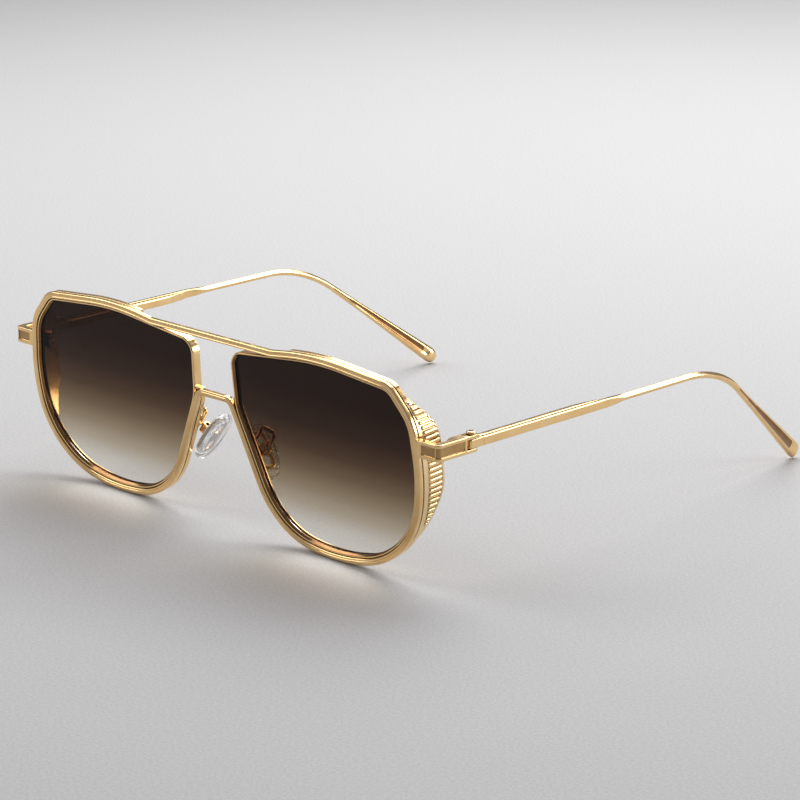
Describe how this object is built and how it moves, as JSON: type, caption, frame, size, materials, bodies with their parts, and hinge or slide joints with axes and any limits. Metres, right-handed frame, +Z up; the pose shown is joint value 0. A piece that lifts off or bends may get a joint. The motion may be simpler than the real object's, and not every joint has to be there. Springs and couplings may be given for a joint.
{
  "type": "sunglasses",
  "caption": "Metal aviator sunglasses with teardrop lenses, a brow bar, ribbed side shields, folding temples and rocking nose pads.",
  "frame": {"origin": "middle of the box round the open glasses, at the surface they stand on", "axes": "+Z up, +X towards the wearer's left, -Y the way the lenses face, +Y along the open temples"},
  "size_m": [0.1454, 0.1404, 0.0485],
  "materials": {
    "wire_gold": "polished pale gold plating",
    "rim_gold": "polished pale gold plating",
    "shield_gold": "polished pale gold plating",
    "end_gold": "pale gold plating, satin between polished rails",
    "temple_gold": "polished pale gold plating",
    "screw_gold": "polished",
    "lens_tint": "brown, darker at the top and lighter towards the bottom",
    "pad_silicone": "clear soft silicone",
    "washer_nylon": "natural"
  },
  "bodies": {
    "front": {"front_wire": "wire_gold", "rim_left": "rim_gold", "lens_left": "lens_tint", "side_shield_left": "shield_gold", "rim_lock_upper_left": "rim_gold", "rim_lock_lower_left": "rim_gold", "rim_screw_left": "screw_gold", "end_piece_left": "end_gold", "hinge_screw_left": "screw_gold", "hinge_washers_left": "washer_nylon", "pad_box_left": "wire_gold", "pad_screw_left": "screw_gold", "pad_arm_left": "wire_gold", "rim_right": "rim_gold", "lens_right": "lens_tint", "side_shield_right": "shield_gold", "rim_lock_upper_right": "rim_gold", "rim_lock_lower_right": "rim_gold", "rim_screw_right": "screw_gold", "end_piece_right": "end_gold", "hinge_screw_right": "screw_gold", "hinge_washers_right": "washer_nylon", "pad_box_right": "wire_gold", "pad_screw_right": "screw_gold", "pad_arm_right": "wire_gold"},
    "temple_left": {"temple_arm_left": "temple_gold", "temple_liner_left": "temple_gold", "hinge_knuckle_left": "end_gold"},
    "temple_right": {"temple_arm_right": "temple_gold", "temple_liner_right": "temple_gold", "hinge_knuckle_right": "end_gold"},
    "pad_left": {"nose_pad_left": "pad_silicone", "pad_insert_left": "wire_gold"},
    "pad_right": {"nose_pad_right": "pad_silicone", "pad_insert_right": "wire_gold"}
  },
  "joints": [
    {"name": "fold_left", "type": "hinge", "parent": "front", "child": "temple_left", "pos_m": [0.0713, -0.05701, 0.0333], "axis": [0, 0, 1], "range_deg": [0, 87]},
    {"name": "fold_right", "type": "hinge", "parent": "front", "child": "temple_right", "pos_m": [-0.0713, -0.05701, 0.0333], "axis": [0, 0, -1], "range_deg": [0, 81]},
    {"name": "rock_left", "type": "hinge", "parent": "front", "child": "pad_left", "pos_m": [0.01051, -0.06168, 0.02015], "axis": [0.1392, 0.9903, 0], "range_deg": [-8, 8]},
    {"name": "rock_right", "type": "hinge", "parent": "front", "child": "pad_right", "pos_m": [-0.01051, -0.06168, 0.02015], "axis": [-0.1392, 0.9903, 0], "range_deg": [-8, 8]}
  ]
}
